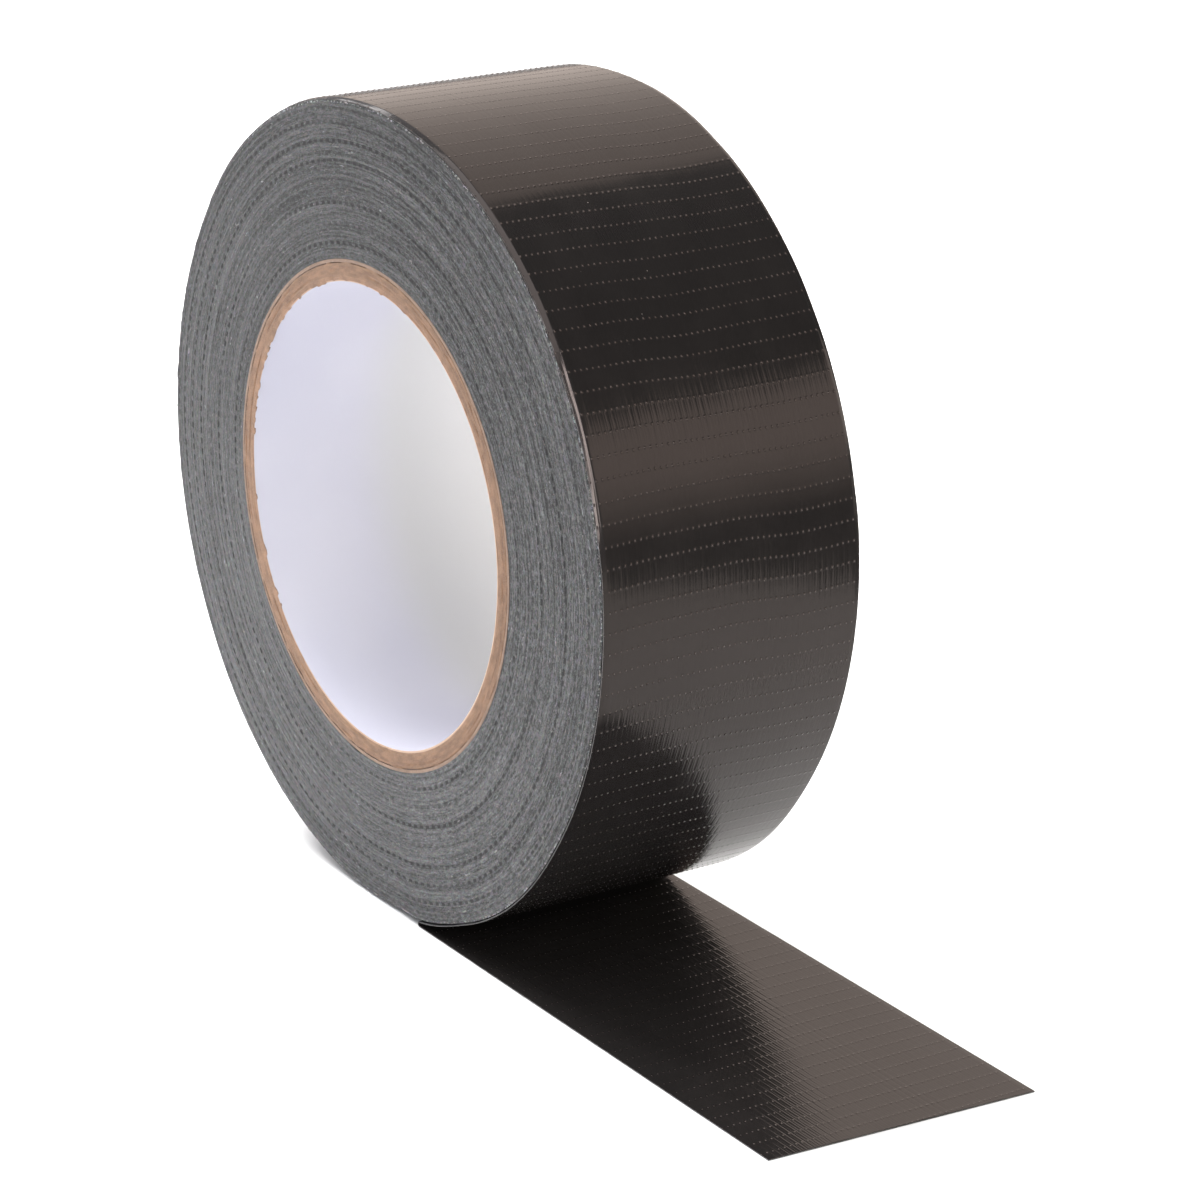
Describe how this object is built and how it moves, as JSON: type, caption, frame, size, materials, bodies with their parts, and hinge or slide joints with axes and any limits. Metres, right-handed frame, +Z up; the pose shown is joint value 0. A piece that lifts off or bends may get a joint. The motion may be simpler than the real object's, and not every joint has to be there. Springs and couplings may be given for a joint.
{
  "type": "duct tape roll",
  "caption": "Roll of black cloth duct tape on a kraft core, standing on its edge with the free end folded back flat on the floor.",
  "frame": {"origin": "on the floor under the roll's axis, at the middle of the tape's width", "axes": "+Y along the roll's axis, +X the way the free end lies, +Z up"},
  "size_m": [0.181, 0.047, 0.133],
  "materials": {
    "liner_paper": "satin",
    "kraft_board": "matte",
    "kraft_wrap": "matte",
    "wound_tape": "matte",
    "tape_adhesive": "satin",
    "tape_scrim": "matte",
    "tape_film": "gloss"
  },
  "bodies": {
    "roll": {"core_liner": "liner_paper", "core_ply_1": "kraft_board", "core_ply_2": "kraft_board", "core_ply_3": "kraft_board", "core_ply_4": "kraft_board", "core_ply_5": "kraft_board", "core_wrap": "kraft_wrap", "tape_turns_1": "wound_tape", "tape_turns_2": "wound_tape", "tape_turns_3": "wound_tape", "tape_turns_4": "wound_tape", "tape_turns_5": "wound_tape", "tape_turns_6": "wound_tape", "tape_turns_7": "wound_tape", "tape_turns_8": "wound_tape", "last_turn_adhesive": "tape_adhesive", "last_turn_scrim": "tape_scrim", "last_turn_film": "tape_film"},
    "tail_01": {"tail_adhesive_01": "tape_adhesive", "tail_scrim_01": "tape_scrim", "tail_film_01": "tape_film"},
    "tail_02": {"tail_adhesive_02": "tape_adhesive", "tail_scrim_02": "tape_scrim", "tail_film_02": "tape_film"},
    "tail_03": {"tail_adhesive_03": "tape_adhesive", "tail_scrim_03": "tape_scrim", "tail_film_03": "tape_film"},
    "tail_04": {"tail_adhesive_04": "tape_adhesive", "tail_scrim_04": "tape_scrim", "tail_film_04": "tape_film"},
    "tail_05": {"tail_adhesive_05": "tape_adhesive", "tail_scrim_05": "tape_scrim", "tail_film_05": "tape_film"},
    "tail_06": {"tail_adhesive_06": "tape_adhesive", "tail_scrim_06": "tape_scrim", "tail_film_06": "tape_film"},
    "tail_07": {"tail_adhesive_07": "tape_adhesive", "tail_scrim_07": "tape_scrim", "tail_film_07": "tape_film"},
    "tail_08": {"tail_adhesive_08": "tape_adhesive", "tail_scrim_08": "tape_scrim", "tail_film_08": "tape_film"},
    "tail_09": {"tail_adhesive_09": "tape_adhesive", "tail_scrim_09": "tape_scrim", "tail_film_09": "tape_film"},
    "tail_10": {"tail_adhesive_10": "tape_adhesive", "tail_scrim_10": "tape_scrim", "tail_film_10": "tape_film"}
  },
  "joints": [
    {"name": "tail_peel", "type": "hinge", "parent": "roll", "child": "tail_01", "pos_m": [0.01407, 0, 0.00047], "axis": [0, 1, 0], "range_deg": [-15, 172.4]},
    {"name": "tail_curl_02", "type": "hinge", "parent": "tail_01", "child": "tail_02", "pos_m": [0.02427, 0, 0], "axis": [0, 1, 0], "range_deg": [-0.75, 8.45]},
    {"name": "tail_curl_03", "type": "hinge", "parent": "tail_02", "child": "tail_03", "pos_m": [0.03413, 0, 0], "axis": [0, 1, 0], "range_deg": [-0.75, 8.45]},
    {"name": "tail_curl_04", "type": "hinge", "parent": "tail_03", "child": "tail_04", "pos_m": [0.04399, 0, 0], "axis": [0, 1, 0], "range_deg": [-0.75, 8.45]},
    {"name": "tail_curl_05", "type": "hinge", "parent": "tail_04", "child": "tail_05", "pos_m": [0.05385, 0, 0], "axis": [0, 1, 0], "range_deg": [-0.75, 8.45]},
    {"name": "tail_curl_06", "type": "hinge", "parent": "tail_05", "child": "tail_06", "pos_m": [0.06371, 0, 0], "axis": [0, 1, 0], "range_deg": [-0.75, 8.45]},
    {"name": "tail_curl_07", "type": "hinge", "parent": "tail_06", "child": "tail_07", "pos_m": [0.07357, 0, 0], "axis": [0, 1, 0], "range_deg": [-0.75, 8.45]},
    {"name": "tail_curl_08", "type": "hinge", "parent": "tail_07", "child": "tail_08", "pos_m": [0.08342, 0, 0], "axis": [0, 1, 0], "range_deg": [-0.75, 8.45]},
    {"name": "tail_curl_09", "type": "hinge", "parent": "tail_08", "child": "tail_09", "pos_m": [0.09328, 0, 0], "axis": [0, 1, 0], "range_deg": [-0.75, 8.45]},
    {"name": "tail_curl_10", "type": "hinge", "parent": "tail_09", "child": "tail_10", "pos_m": [0.10314, 0, 0], "axis": [0, 1, 0], "range_deg": [-0.75, 8.45]}
  ],
  "couplings": [
    {"joint": "tail_curl_02", "follows": "tail_peel", "ratio": 0.0489},
    {"joint": "tail_curl_03", "follows": "tail_peel", "ratio": 0.0489},
    {"joint": "tail_curl_04", "follows": "tail_peel", "ratio": 0.0489},
    {"joint": "tail_curl_05", "follows": "tail_peel", "ratio": 0.0489},
    {"joint": "tail_curl_06", "follows": "tail_peel", "ratio": 0.0489},
    {"joint": "tail_curl_07", "follows": "tail_peel", "ratio": 0.0489},
    {"joint": "tail_curl_08", "follows": "tail_peel", "ratio": 0.0489},
    {"joint": "tail_curl_09", "follows": "tail_peel", "ratio": 0.0489},
    {"joint": "tail_curl_10", "follows": "tail_peel", "ratio": 0.0489}
  ]
}
